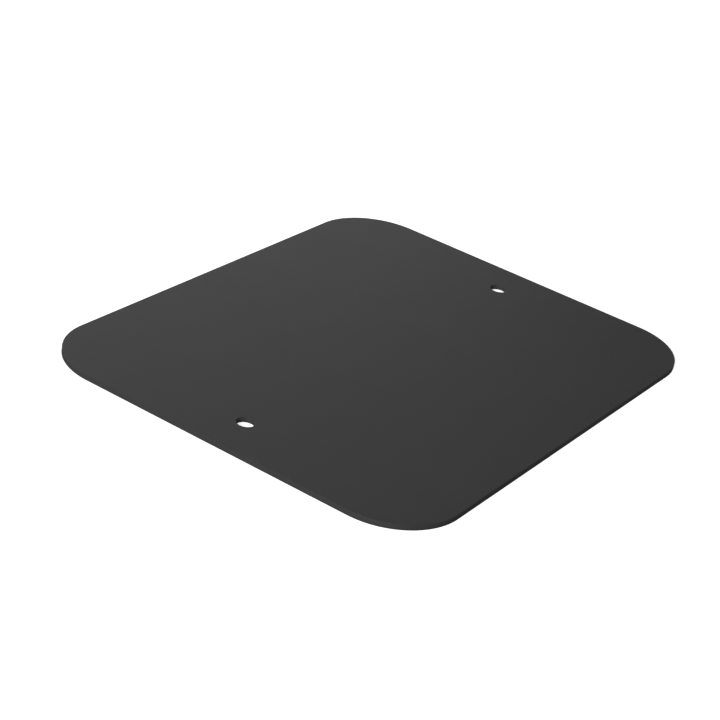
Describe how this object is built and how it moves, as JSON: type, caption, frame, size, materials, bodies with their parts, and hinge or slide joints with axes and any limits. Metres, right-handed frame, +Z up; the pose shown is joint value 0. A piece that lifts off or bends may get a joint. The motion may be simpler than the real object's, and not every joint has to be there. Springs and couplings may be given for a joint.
{
  "type": "fence post cap",
  "caption": "Flat sheet-steel cap plate with round corners, coated dark satin, with a screw hole near each short side, to cover the end of a rectangular post.",
  "frame": {"origin": "middle of the underside, which lies on the end of the post", "axes": "+X along the long side through both holes, +Y along the short side, +Z up out of the top face"},
  "size_m": [0.125, 0.1, 0.0012],
  "materials": {
    "powder_coat": "black satin powder coat on sheet steel, even over faces, edges and hole walls"
  },
  "bodies": {
    "root": {"cap_plate": "powder_coat"}
  },
  "joints": []
}
